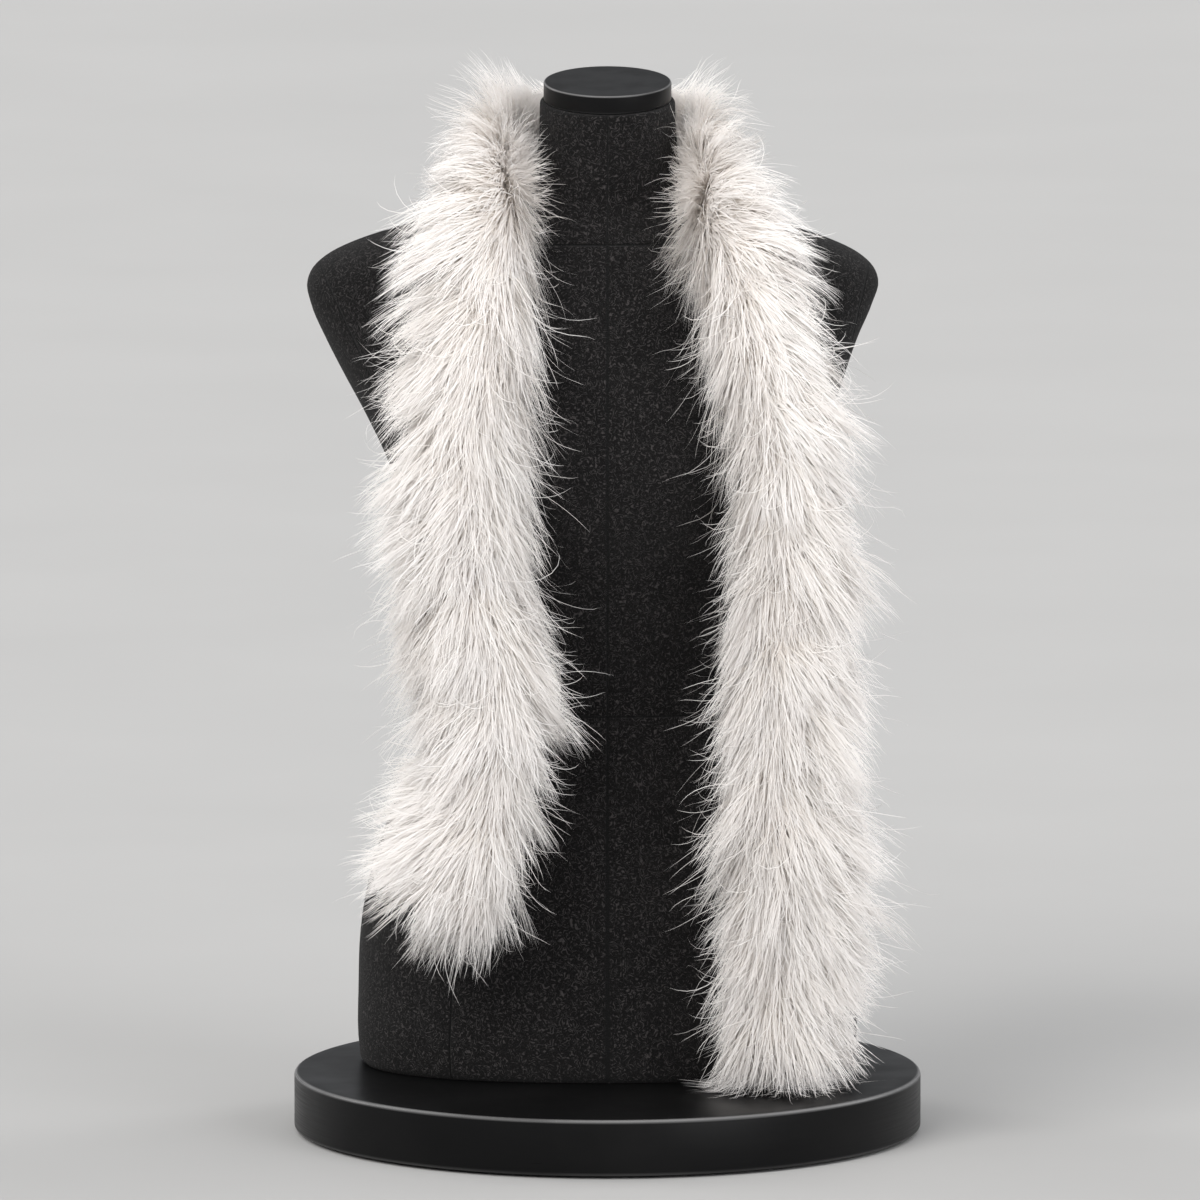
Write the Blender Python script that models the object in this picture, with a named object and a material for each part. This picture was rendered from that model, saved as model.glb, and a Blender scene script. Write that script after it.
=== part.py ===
"""A long faux fur scarf laid round the neck of a limbless dress form on a round base.

Metres, +Z up, origin at the middle of the base's underside, the front towards -Y.
"""

import bpy
import numpy as np
from mathutils import Vector
from mathutils.bvhtree import BVHTree

SEAM = 0.0003  # gap between pieces that meet
SHARP_ANGLE = np.radians(50.0)  # edges sharper than this are shaded sharp

# Base: a flat round plate on a narrower foot
BASE_RADIUS = 0.226
BASE_HEIGHT = 0.043
FOOT_RADIUS = 0.214
FOOT_HEIGHT = 0.002
BASE_ROUNDING = 0.003
BASE_SIDES = 64

# Cap on the neck, tipped forwards with the neck's top
CAP_RADIUS = 0.046
CAP_THICKNESS = 0.0135
CAP_ROUNDING = 0.0015
CAP_SIDES = 40
NECK_TILT = np.radians(6.7)

# Form, level by level above the base:
# height, sideways shift, half width, front, back, squareness, share of the neck's tilt
FORM_LEVELS = (
    (0.0000, 0.0000, 0.1755, -0.063, 0.153, 2.40, 0.0),
    (0.0030, 0.0000, 0.1780, -0.066, 0.156, 2.40, 0.0),
    (0.0100, 0.0000, 0.1792, -0.068, 0.157, 2.40, 0.0),
    (0.0550, 0.0000, 0.1800, -0.069, 0.158, 2.35, 0.0),
    (0.1000, 0.0000, 0.1780, -0.069, 0.156, 2.30, 0.0),
    (0.1500, 0.0000, 0.1680, -0.067, 0.147, 2.25, 0.0),
    (0.2000, 0.0000, 0.1490, -0.063, 0.128, 2.20, 0.0),
    (0.2350, 0.0000, 0.1340, -0.058, 0.114, 2.15, 0.0),
    (0.2650, 0.0000, 0.1280, -0.054, 0.108, 2.10, 0.0),
    (0.3000, 0.0000, 0.1300, -0.057, 0.110, 2.10, 0.0),
    (0.3500, 0.0000, 0.1380, -0.069, 0.120, 2.15, 0.0),
    (0.4000, 0.0000, 0.1470, -0.085, 0.130, 2.20, 0.0),
    (0.4400, -0.0025, 0.1550, -0.093, 0.136, 2.20, 0.0),
    (0.4750, -0.0060, 0.1680, -0.089, 0.140, 2.20, 0.0),
    (0.5050, -0.0095, 0.1810, -0.081, 0.142, 2.15, 0.0),
    (0.5300, -0.0115, 0.1920, -0.072, 0.141, 2.10, 0.0),
    (0.5530, -0.0115, 0.2020, -0.063, 0.136, 2.05, 0.0),
    (0.5700, -0.0105, 0.2055, -0.056, 0.130, 2.00, 0.0),
    (0.5820, -0.0100, 0.1995, -0.051, 0.124, 2.00, 0.0),
    (0.5920, -0.0095, 0.1860, -0.046, 0.118, 2.00, 0.0),
    (0.6010, -0.0090, 0.1650, -0.041, 0.112, 2.00, 0.0),
    (0.6090, -0.0080, 0.1400, -0.036, 0.106, 2.00, 0.0),
    (0.6170, -0.0060, 0.1130, -0.031, 0.100, 2.00, 0.0),
    (0.6240, -0.0040, 0.0880, -0.028, 0.094, 2.00, 0.1),
    (0.6330, -0.0020, 0.0690, -0.025, 0.088, 2.00, 0.2),
    (0.6450, -0.0005, 0.0570, -0.025, 0.082, 2.00, 0.4),
    (0.6650, 0.0000, 0.0510, -0.026, 0.076, 2.00, 0.7),
    (0.7030, 0.0000, 0.0485, -0.030, 0.067, 2.00, 1.0),
)
FORM_SIDES = 48
BUST_HEIGHT = 0.435
BUST_SPREAD = 0.074
BUST_REACH = 0.012
BUST_WIDTH = 0.046
BUST_TALL = 0.062

# Scarf's middle line from the left end, round behind the neck, to the right end:
# x, y, height above the base, way the edge faces in degrees, half width, half thickness
SCARF_LINE = (
    (-0.146, -0.133, 0.103, 180, 0.011, 0.009),
    (-0.139, -0.132, 0.114, 180, 0.034, 0.022),
    (-0.128, -0.130, 0.138, 180, 0.055, 0.033),
    (-0.113, -0.127, 0.174, 180, 0.065, 0.037),
    (-0.099, -0.124, 0.210, 180, 0.065, 0.037),
    (-0.087, -0.122, 0.248, 180, 0.055, 0.036),
    (-0.088, -0.122, 0.290, 180, 0.058, 0.037),
    (-0.098, -0.122, 0.335, 180, 0.060, 0.037),
    (-0.111, -0.122, 0.395, 180, 0.062, 0.037),
    (-0.110, -0.119, 0.455, 180, 0.062, 0.038),
    (-0.104, -0.110, 0.512, 180, 0.061, 0.039),
    (-0.096, -0.096, 0.560, 180, 0.060, 0.040),
    (-0.092, -0.078, 0.596, 180, 0.060, 0.042),
    (-0.089, -0.052, 0.626, 180, 0.056, 0.045),
    (-0.089, -0.018, 0.645, 178, 0.042, 0.048),
    (-0.086, 0.020, 0.654, 170, 0.035, 0.048),
    (-0.077, 0.062, 0.653, 150, 0.032, 0.047),
    (-0.046, 0.099, 0.648, 120, 0.031, 0.046),
    (0.000, 0.112, 0.646, 90, 0.031, 0.045),
    (0.045, 0.098, 0.648, 60, 0.030, 0.046),
    (0.072, 0.062, 0.650, 30, 0.029, 0.046),
    (0.076, 0.022, 0.645, 10, 0.028, 0.045),
    (0.081, -0.016, 0.633, 2, 0.037, 0.045),
    (0.088, -0.050, 0.614, 0, 0.053, 0.043),
    (0.098, -0.077, 0.588, 0, 0.057, 0.042),
    (0.107, -0.096, 0.553, 0, 0.056, 0.040),
    (0.119, -0.108, 0.512, 0, 0.057, 0.039),
    (0.127, -0.117, 0.465, 0, 0.057, 0.038),
    (0.129, -0.121, 0.410, 0, 0.058, 0.037),
    (0.129, -0.121, 0.345, 0, 0.060, 0.037),
    (0.129, -0.120, 0.280, 0, 0.060, 0.037),
    (0.130, -0.117, 0.215, 0, 0.061, 0.037),
    (0.134, -0.111, 0.155, 0, 0.063, 0.037),
    (0.132, -0.104, 0.100, 0, 0.062, 0.037),
    (0.130, -0.099, 0.050, 0, 0.062, 0.038),
    (0.130, -0.096, 0.018, 0, 0.065, 0.041),
    (0.130, -0.095, 0.001, 0, 0.072, 0.048),
)
NAPE_ROW = 18  # the row behind the neck, from which the fur runs down both ways
LEFT_SEAM_ROW = 13  # the rows on the shoulders, where the two falls begin
RIGHT_SEAM_ROW = 23
SCARF_SQUARENESS = 2.2
SCARF_SIDES = 28
RING_STEP = 0.0092
CLEARANCE = 0.0012  # the scarf's points keep this far from the form
CLEARING_PASSES = 4
LEAST_FLAT = 0.1  # limits a move where the form's surface faces nearly along the scarf
NUDGE = 0.001  # the line's direction is read over this step

# Fur locks: overlapping pointed tufts in staggered columns that lie down the scarf
LOCK_LENGTH = 0.046
LOCKS_ROUND = 7
LOCK_HEIGHT = 0.013
LOCK_SHORTEST = 0.70  # the flattest lock, as a share of the highest
LOCK_EDGE = 0.25  # height of a lock's edges, as a share of its crest's
LOCK_CROWN = 1.5  # power of the fall from a lock's crest to its edges
LOCK_TIP = 0.90  # how far along a lock its crest peaks
LOCK_SHOULDER = 0.55  # how far along a lock its edges peak, which makes it pointed
LOCK_STAGGER = 0.38  # each column of locks starts this much of a lock after the last
LOCK_WANDER = 0.30  # how far a column wanders to the sides, as a share of its width
LOCK_BEND = 0.16  # length in which it wanders there and back
LOCK_SWEEP = 0.60  # how far a tip leans sideways, as a share of its height
LOCK_DROP = 0.55  # how far a tip reaches down the scarf, as a share of its height
NOISE_STEPS = (12.9898, 78.233)
NOISE_GAIN = 43758.5453
PARTING = np.radians(107.0)  # the line from which the fur falls to either side
END_REACH = 0.014  # the locks shrink over this length at a free end
SPREAD_HEIGHT = 0.060  # below this the right end's fur keeps clear of the base's rim
RIM_MARGIN = 0.006


def material(name, colour, roughness, metallic=0.0):
    made = bpy.data.materials.new(name)
    made.use_nodes = True
    shader = made.node_tree.nodes["Principled BSDF"]
    shader.inputs["Base Color"].default_value = (*colour, 1.0)
    shader.inputs["Roughness"].default_value = roughness
    shader.inputs["Metallic"].default_value = metallic
    made.diffuse_color = (*colour, 1.0)
    return made


def loft(name, rings, finish):
    """Closes rings of points, counter-clockwise about their line, into one solid."""
    count, sides = rings.shape[:2]
    points = list(rings.reshape(-1, 3)) + [rings[0].mean(0), rings[-1].mean(0)]
    first, last = count * sides, count * sides + 1
    top = (count - 1) * sides
    faces = []
    for j in range(sides):
        k = (j + 1) % sides
        faces.append((first, k, j))
        faces.append((last, top + j, top + k))
        for i in range(count - 1):
            low, high = i * sides, (i + 1) * sides
            faces.append((low + j, low + k, high + k))
            faces.append((low + j, high + k, high + j))
    mesh = bpy.data.meshes.new(name)
    mesh.from_pydata([tuple(p) for p in points], [], faces)
    mesh.shade_smooth()
    mesh.set_sharp_from_angle(angle=SHARP_ANGLE)
    mesh.materials.append(finish)
    made = bpy.data.objects.new(name, mesh)
    bpy.context.collection.objects.link(made)
    return made


def turned(profile, sides):
    """Rings of a turned shape from its (radius, height) profile, bottom to top."""
    angle = np.linspace(0, 2 * np.pi, sides, endpoint=False)
    circle = np.stack([np.cos(angle), np.sin(angle), 0 * angle], 1)
    return np.array([circle * (r, r, 0) + (0, 0, z) for r, z in profile])


def rounded_rim(radius, low, high, rounding):
    """Profile of a plate whose two rims are rounded by two steps each."""
    half = rounding * (1 - np.sqrt(0.5))
    return (
        (radius - rounding, low),
        (radius - half, low + half),
        (radius, low + rounding),
        (radius, high - rounding),
        (radius - half, high - half),
        (radius - rounding, high),
    )


def make_base(finish):
    foot = ((FOOT_RADIUS, 0.0), (FOOT_RADIUS, FOOT_HEIGHT))
    plate = rounded_rim(BASE_RADIUS, FOOT_HEIGHT, BASE_HEIGHT, BASE_ROUNDING)
    return loft("base_disc", turned(foot + plate, BASE_SIDES), finish)


def form_rings(levels):
    """One ring a level: a squared oval, with the bust raised and the neck tipped forwards."""
    angle = np.linspace(0, 2 * np.pi, FORM_SIDES, endpoint=False)
    c, s = np.cos(angle), np.sin(angle)
    rings = []
    for height, shift, half_width, front, back, square, tilt in levels:
        x = half_width * np.sign(c) * np.abs(c) ** (2 / square)
        y = (back - front) / 2 * np.sign(s) * np.abs(s) ** (2 / square)
        across = np.exp(-(((np.abs(x) - BUST_SPREAD) / BUST_WIDTH) ** 2))
        up = np.exp(-(((height - BUST_HEIGHT) / BUST_TALL) ** 2))
        z = BASE_HEIGHT + SEAM + height + y * np.tan(NECK_TILT) * tilt
        y = y + (front + back) / 2 - BUST_REACH * across * up * (s < 0)
        rings.append(np.stack([x + shift, y, z], 1))
    return np.array(rings)


def make_cap(finish):
    """The neck's cap, its underside one seam above the tipped top of the neck."""
    height, _, _, front, back, _, _ = FORM_LEVELS[-1]
    profile = rounded_rim(CAP_RADIUS, 0.0, CAP_THICKNESS, CAP_ROUNDING)
    cap = loft("neck_cap", turned(profile, CAP_SIDES), finish)
    cap.location = (0, (front + back) / 2, BASE_HEIGHT + height + 2 * SEAM)
    cap.rotation_euler = (NECK_TILT, 0, 0)
    return cap


class Line:
    """A smooth curve through the rows of a table, by arc length along its chords."""

    def __init__(self, rows):
        self.rows = np.array(rows, float)
        steps = np.linalg.norm(np.diff(self.rows[:, :3], axis=0), axis=1)
        self.at = np.concatenate([[0], np.cumsum(steps)])
        self.slopes = np.gradient(self.rows, self.at, axis=0)

    def value(self, distance):
        i = int(np.clip(np.searchsorted(self.at, distance) - 1, 0, len(self.at) - 2))
        span = self.at[i + 1] - self.at[i]
        t = (distance - self.at[i]) / span
        start, end = self.rows[i], self.rows[i + 1]
        return (
            (2 * t**3 - 3 * t**2 + 1) * start
            + (t**3 - 2 * t**2 + t) * span * self.slopes[i]
            + (3 * t**2 - 2 * t**3) * end
            + (t**3 - t**2) * span * self.slopes[i + 1]
        )

    def frame(self, distance):
        """Middle, ways along, out and forwards, and the two half sizes there."""
        row = self.value(distance)
        ahead = self.value(min(distance + NUDGE, self.at[-1]))
        behind = self.value(max(distance - NUDGE, 0.0))
        along = (ahead - behind)[:3]
        along /= np.linalg.norm(along)
        facing = np.radians(row[3])
        out = np.array([np.cos(facing), np.sin(facing), 0.0])
        out -= along * (out @ along)
        out /= np.linalg.norm(out)
        return row[:3], along, out, np.cross(along, out), row[4], row[5]


def unit_noise(row, column):
    """A fixed number from 0 to 1 for each row and column."""
    return np.sin(row * NOISE_STEPS[0] + column * NOISE_STEPS[1]) * NOISE_GAIN % 1.0


def lock(distance, angle):
    """How far a point stands up on its lock of fur, from 0 to 1."""
    wander = LOCK_WANDER * np.sin(2 * np.pi * distance / LOCK_BEND)
    across = angle / (2 * np.pi) * LOCKS_ROUND + wander
    column = np.round(across)
    crest = 1 - np.abs(2 * (across - column)) ** LOCK_CROWN
    column %= LOCKS_ROUND
    row, along = divmod(distance / LOCK_LENGTH + LOCK_STAGGER * column, 1.0)
    peak = LOCK_SHOULDER + (LOCK_TIP - LOCK_SHOULDER) * crest
    rise = along / peak if along < peak else (1 - along) / (1 - peak)
    size = LOCK_SHORTEST + (1 - LOCK_SHORTEST) * unit_noise(row, column)
    return (LOCK_EDGE + (1 - LOCK_EDGE) * crest) * rise * size


def fade(distance, reach):
    """0 at an end and 1 beyond its reach, smoothly."""
    t = min(max(distance / reach, 0.0), 1.0)
    return t * t * (3 - 2 * t)


def ring(line, distance, nape, raised, lean):
    """One ring of the scarf's outside, its locks raised and leaning by these shares."""
    middle, along, out, forwards, wide, thick = line.frame(distance)
    down = along if distance >= nape else -along
    power = 2 / SCARF_SQUARENESS
    points = []
    for angle in np.linspace(0, 2 * np.pi, SCARF_SIDES, endpoint=False):
        c, s = np.cos(angle), np.sin(angle)
        x = (wide - LOCK_HEIGHT / 2) * np.sign(c) * np.abs(c) ** power
        y = (thick - LOCK_HEIGHT / 2) * np.sign(s) * np.abs(s) ** power
        outwards = out * c * thick + forwards * s * wide
        outwards /= np.linalg.norm(outwards)
        from_parting = (angle - PARTING + np.pi) % (2 * np.pi) - np.pi
        aside = np.cross(along, outwards) * np.sin(from_parting / 2)
        up = lock(abs(distance - nape), angle) * LOCK_HEIGHT * raised
        tip = outwards + aside * LOCK_SWEEP + down * LOCK_DROP * lean
        points.append(middle + out * x + forwards * y + tip * up)
    return np.array(points), along


def clear_of(surface, points, along):
    """Moves the points of a ring that lie in the form out of it, within the ring's plane."""
    for _ in range(CLEARING_PASSES):
        for i, p in enumerate(points):
            near, normal, _, _ = surface.find_nearest(Vector(p))
            normal = np.array(normal)
            lacking = CLEARANCE - (p - np.array(near)) @ normal
            if lacking <= 0:
                continue
            flat = normal - along * (normal @ along)
            points[i] = p + flat * lacking / max(flat @ flat, LEAST_FLAT)
    return points


def on_base(points):
    """Keeps the fur that spreads on the base above it and inside its rim."""
    points[:, 2] = np.maximum(points[:, 2], BASE_HEIGHT + SEAM)
    low = points[:, 2] < BASE_HEIGHT + SPREAD_HEIGHT
    reach = np.linalg.norm(points[:, :2], axis=1)
    scale = np.where(low, np.minimum(1, (BASE_RADIUS - RIM_MARGIN) / reach), 1)
    points[:, :2] *= scale[:, None]
    return points


def make_stretch(name, line, start, end, surface, finish):
    """One stretch of the scarf; an end inside the line is a seam, the line's own ends are free."""
    free_start, free_end = start <= 0, end >= line.at[-1]
    first = start if free_start else start + SEAM / 2
    last = end if free_end else end - SEAM / 2
    nape = line.at[NAPE_ROW]
    rings = []
    for distance in np.linspace(first, last, int(round((last - first) / RING_STEP)) + 1):
        before, after = distance - first, last - distance
        lean = fade(before, LOCK_LENGTH / 2) * fade(after, LOCK_LENGTH / 2)
        raised = fade(before, END_REACH) if free_start else 1.0
        raised *= fade(after, END_REACH) if free_end else 1.0
        points, along = ring(line, distance, nape, raised, lean)
        rings.append(on_base(clear_of(surface, points, along)))
    return loft(name, np.array(rings), finish)


def make_scarf(form, finish):
    """The two falls and the stretch behind the neck, clear of the form."""
    surface = BVHTree.FromPolygons(
        [v.co for v in form.data.vertices],
        [tuple(p.vertices) for p in form.data.polygons],
    )
    rows = np.array(SCARF_LINE, float)
    rows[:, 2] += BASE_HEIGHT
    line = Line(rows)
    left, right = line.at[LEFT_SEAM_ROW], line.at[RIGHT_SEAM_ROW]
    end = line.at[-1]
    make_stretch("scarf_left_fall", line, 0.0, left, surface, finish)
    make_stretch("scarf_neck", line, left, right, surface, finish)
    make_stretch("scarf_right_fall", line, right, end, surface, finish)


def main():
    for old in list(bpy.data.objects):
        bpy.data.objects.remove(old, do_unlink=True)
    satin_black = material("satin_black", (0.012, 0.012, 0.013), 0.32)
    form_cloth = material("charcoal_boucle", (0.030, 0.027, 0.028), 0.90)
    ivory_fur = material("ivory_fur", (0.80, 0.76, 0.72), 0.75)
    make_base(satin_black)
    make_cap(satin_black)
    form = loft("form_body", form_rings(FORM_LEVELS), form_cloth)
    make_scarf(form, ivory_fur)


main()
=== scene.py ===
"""Looks of the faux fur scarf on its dress form: cloth, long pile, finishes, light and camera.

Metres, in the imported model's own frame. Numbers of the scarf's line and of the form's
levels repeat the ones that the solids were built from.
"""

from collections import namedtuple

import bpy
import numpy as np
from mathutils import Matrix, Vector
from mathutils.bvhtree import BVHTree
from mathutils.kdtree import KDTree

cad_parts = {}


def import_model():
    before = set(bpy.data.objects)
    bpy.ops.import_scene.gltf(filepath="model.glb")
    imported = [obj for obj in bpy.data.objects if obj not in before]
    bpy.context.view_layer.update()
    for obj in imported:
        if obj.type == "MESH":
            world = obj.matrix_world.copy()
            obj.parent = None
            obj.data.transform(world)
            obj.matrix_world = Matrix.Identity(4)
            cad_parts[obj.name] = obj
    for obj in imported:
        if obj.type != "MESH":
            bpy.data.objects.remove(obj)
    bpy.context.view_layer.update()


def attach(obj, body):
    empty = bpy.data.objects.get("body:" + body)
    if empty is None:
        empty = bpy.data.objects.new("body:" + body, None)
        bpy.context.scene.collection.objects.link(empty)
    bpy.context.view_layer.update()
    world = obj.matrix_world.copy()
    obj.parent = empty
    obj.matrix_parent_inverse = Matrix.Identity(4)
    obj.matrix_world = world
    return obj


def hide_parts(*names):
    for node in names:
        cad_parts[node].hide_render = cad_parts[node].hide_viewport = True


SEAM = 0.0003  # gap between pieces that meet
BASE_RADIUS = 0.226
BASE_HEIGHT = 0.043
NECK_TILT = np.radians(6.7)
FOOT_RADIUS = 0.214
FOOT_HEIGHT = 0.002
BASE_ROUNDING = 0.003
CAP_RADIUS = 0.046
CAP_THICKNESS = 0.0135
CAP_ROUNDING = 0.0015
CAP_MIDDLE_Y = 0.0185
TURNED_SIDES = 168
ROUNDING_STEPS = 6
TOP_RINGS = (0.97, 0.70, 0.35)  # rings on a plate's flat top, as shares of its radius
LOWER_RIM_HIGHLIGHT = 0.3  # painted highlight on a plate's lower rim, against 1 on its upper rim
PLATE_SHARP = np.radians(40)  # edges sharper than this are shaded sharp

# Form, level by level above the base:
# height, sideways shift, half width, front, back, squareness, share of the neck's tilt
FORM_LEVELS = (
    (0.0000, 0.0000, 0.1755, -0.063, 0.153, 2.40, 0.0),
    (0.0030, 0.0000, 0.1780, -0.066, 0.156, 2.40, 0.0),
    (0.0100, 0.0000, 0.1792, -0.068, 0.157, 2.40, 0.0),
    (0.0550, 0.0000, 0.1800, -0.069, 0.158, 2.35, 0.0),
    (0.1000, 0.0000, 0.1780, -0.069, 0.156, 2.30, 0.0),
    (0.1500, 0.0000, 0.1680, -0.067, 0.147, 2.25, 0.0),
    (0.2000, 0.0000, 0.1490, -0.063, 0.128, 2.20, 0.0),
    (0.2350, 0.0000, 0.1340, -0.058, 0.114, 2.15, 0.0),
    (0.2650, 0.0000, 0.1280, -0.054, 0.108, 2.10, 0.0),
    (0.3000, 0.0000, 0.1300, -0.057, 0.110, 2.10, 0.0),
    (0.3500, 0.0000, 0.1380, -0.069, 0.120, 2.15, 0.0),
    (0.4000, 0.0000, 0.1470, -0.085, 0.130, 2.20, 0.0),
    (0.4400, -0.0025, 0.1550, -0.093, 0.136, 2.20, 0.0),
    (0.4750, -0.0060, 0.1680, -0.089, 0.140, 2.20, 0.0),
    (0.5050, -0.0095, 0.1810, -0.081, 0.142, 2.15, 0.0),
    (0.5300, -0.0115, 0.1920, -0.072, 0.141, 2.10, 0.0),
    (0.5530, -0.0115, 0.2020, -0.063, 0.136, 2.05, 0.0),
    (0.5700, -0.0105, 0.2055, -0.056, 0.130, 2.00, 0.0),
    (0.5820, -0.0100, 0.1995, -0.051, 0.124, 2.00, 0.0),
    (0.5920, -0.0095, 0.1860, -0.046, 0.118, 2.00, 0.0),
    (0.6010, -0.0090, 0.1650, -0.041, 0.112, 2.00, 0.0),
    (0.6090, -0.0080, 0.1400, -0.036, 0.106, 2.00, 0.0),
    (0.6170, -0.0060, 0.1130, -0.031, 0.100, 2.00, 0.0),
    (0.6240, -0.0040, 0.0880, -0.028, 0.094, 2.00, 0.1),
    (0.6330, -0.0020, 0.0690, -0.025, 0.088, 2.00, 0.2),
    (0.6450, -0.0005, 0.0570, -0.025, 0.082, 2.00, 0.4),
    (0.6650, 0.0000, 0.0510, -0.026, 0.076, 2.00, 0.7),
    (0.7030, 0.0000, 0.0485, -0.030, 0.067, 2.00, 1.0),
)
BUST_HEIGHT = 0.435
BUST_SPREAD = 0.074
BUST_REACH = 0.012
BUST_WIDTH = 0.046
BUST_TALL = 0.062

# Form cover's mesh and its sewn seams
COVER_COLUMNS = 132
COVER_RINGS = 112
GROOVE_WIDTH = 0.0014  # from a seam's middle to its side
GROOVE_DEPTH = 0.0011
TOP_ROUNDING = 0.0026
FRONT_SEAM = np.radians(270.0)
UPRIGHT_SEAMS = np.radians((270.0, 90.0, 234.7, 305.3, 0.0, 180.0))
THROUGH_SEAMS = 2  # the first ones, which run on up the neck
LEVEL_SEAMS = (0.265, 0.605)  # waist and neck, above the base
SEAM_WARP = np.radians(24.0)  # the front seam stays on the middle by warping this far round
SEAM_RADIUS = 0.14  # radius at which an upright groove has its stated width
SEAM_CLEAR = 2.2  # columns nearer a seam than this many groove widths are left out
TOP_ROUNDING_STEPS = 6
COVER_SHARP = np.radians(60)

# Scarf's middle line from the left end, round behind the neck, to the right end:
# x, y, height above the base, way the edge faces in degrees, half width, half thickness
SCARF_LINE = (
    (-0.146, -0.133, 0.103, 180, 0.011, 0.009),
    (-0.139, -0.132, 0.114, 180, 0.034, 0.022),
    (-0.128, -0.130, 0.138, 180, 0.055, 0.033),
    (-0.113, -0.127, 0.174, 180, 0.065, 0.037),
    (-0.099, -0.124, 0.210, 180, 0.065, 0.037),
    (-0.087, -0.122, 0.248, 180, 0.055, 0.036),
    (-0.088, -0.122, 0.290, 180, 0.058, 0.037),
    (-0.098, -0.122, 0.335, 180, 0.060, 0.037),
    (-0.111, -0.122, 0.395, 180, 0.062, 0.037),
    (-0.110, -0.119, 0.455, 180, 0.062, 0.038),
    (-0.104, -0.110, 0.512, 180, 0.061, 0.039),
    (-0.096, -0.096, 0.560, 180, 0.060, 0.040),
    (-0.092, -0.078, 0.596, 180, 0.060, 0.042),
    (-0.089, -0.052, 0.626, 180, 0.056, 0.045),
    (-0.089, -0.018, 0.645, 178, 0.042, 0.048),
    (-0.086, 0.020, 0.654, 170, 0.035, 0.048),
    (-0.077, 0.062, 0.653, 150, 0.032, 0.047),
    (-0.046, 0.099, 0.648, 120, 0.031, 0.046),
    (0.000, 0.112, 0.646, 90, 0.031, 0.045),
    (0.045, 0.098, 0.648, 60, 0.030, 0.046),
    (0.072, 0.062, 0.650, 30, 0.029, 0.046),
    (0.076, 0.022, 0.645, 10, 0.028, 0.045),
    (0.081, -0.016, 0.633, 2, 0.037, 0.045),
    (0.088, -0.050, 0.614, 0, 0.053, 0.043),
    (0.098, -0.077, 0.588, 0, 0.057, 0.042),
    (0.107, -0.096, 0.553, 0, 0.056, 0.040),
    (0.119, -0.108, 0.512, 0, 0.057, 0.039),
    (0.127, -0.117, 0.465, 0, 0.057, 0.038),
    (0.129, -0.121, 0.410, 0, 0.058, 0.037),
    (0.129, -0.121, 0.345, 0, 0.060, 0.037),
    (0.129, -0.120, 0.280, 0, 0.060, 0.037),
    (0.130, -0.117, 0.215, 0, 0.061, 0.037),
    (0.134, -0.111, 0.155, 0, 0.063, 0.037),
    (0.132, -0.104, 0.100, 0, 0.062, 0.037),
    (0.130, -0.099, 0.050, 0, 0.062, 0.038),
    (0.130, -0.096, 0.018, 0, 0.065, 0.041),
    (0.130, -0.095, 0.001, 0, 0.072, 0.048),
)
NAPE_ROW = 18  # the row behind the neck, from which the fur runs down both ways
LEFT_SEAM_ROW = 13  # the rows on the shoulders, where the two falls begin
RIGHT_SEAM_ROW = 23
SCARF_SQUARENESS = 2.2
NUDGE = 0.001

# Backing: the sewn cloth tube that the pile grows from
PILE_SIDE = 0.024  # depth of the pile, from the backing to the solid's outside, at the edges
PILE_FRONT = 0.011  # and on the front and back
LEAST_CORE = 0.30  # the tube's half sizes are at least this share of the solid's
LEFT_INSET = 0.057  # the tube's free ends stop this far inside the solid's
RIGHT_INSET = 0.034
END_ROUND = 0.020  # and close over this length
# Row of the line, how much narrower the tube is there, and how far it moves inwards
TUBE_TRIM = (
    (0, 0.010, 0.002),
    (3, 0.016, 0.009),
    (5, 0.009, -0.002),
    (8, 0.010, 0.008),
    (11, 0.012, 0.005),
    (13, 0.011, 0.001),
    (15, 0.004, 0.007),
    (18, 0.000, 0.003),
    (21, 0.004, 0.006),
    (22, 0.009, 0.003),
    (23, 0.011, 0.001),
    (27, 0.013, -0.001),
    (30, 0.007, 0.001),
    (33, 0.010, 0.003),
    (36, 0.015, 0.003),
)
BACKING = 0.0024  # wall of the tube
BACKING_SIDES = 36
TUBE_ROUND = 0.170  # all round the tube, which is the cut's width
BACKING_STEP = 0.010
END_LEAST = 0.12  # the closing end's last half sizes, as a share
END_TURN = 0.9  # how far the outward way turns along the scarf at a closing end

# Pile: tapered ribbons, grown at these shares of their length
SEED = 20
GROWTH_TIMES = np.array((0.0, 0.10, 0.20, 0.32, 0.45, 0.58, 0.70, 0.80, 0.90, 1.0))
STRAND_LENGTH = 0.062
SHORTER_ON_NECK = 0.32  # how much shorter the pile is on the neck
PILE_MARGIN = 0.03  # locks and wisps are planned this far past a pile piece's ends
LOCK_AREA = 0.016 * 0.014
WISP_AREA = 0.0056 * 0.0056
PARTING = np.radians(107.0)  # the line from which the pile falls to either side
PARTING_ON_NECK = np.radians(204.0)  # there it lies against the neck
PARTING_WIDTH = np.radians(26.0)
PARTING_SPREAD = np.radians(30.0)  # strands cross the parting by up to this much
CROSSING_RATES = (9100.0, 5300.0)  # high rates of s and angle, which mix the crossing strands
OUTER_SWEEP = (58.0, 48.0)  # sweep to the outer side in degrees, on the left and right falls
OUTER_SWEEP_ON_NECK = 26.0  # and this much more on the neck
INNER_SWEEP = 27.0
INNER_SWEEP_ON_NECK = 35.0
UPRIGHT_WIDTH = np.radians(40.0)  # how near the neck's parting the pile stands up
STANDING = 6.0  # how much all the pile stands up from its root to its tip, in degrees
STANDING_ON_NECK = 5.0  # and this much more by the neck's parting
ROOT_RISE = 34.0  # how much more it stands at the root, in degrees
ROOT_RISE_ON_NECK = -10.0
ROOT_LENGTH = 0.16  # share of the length in which that wears off
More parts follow.
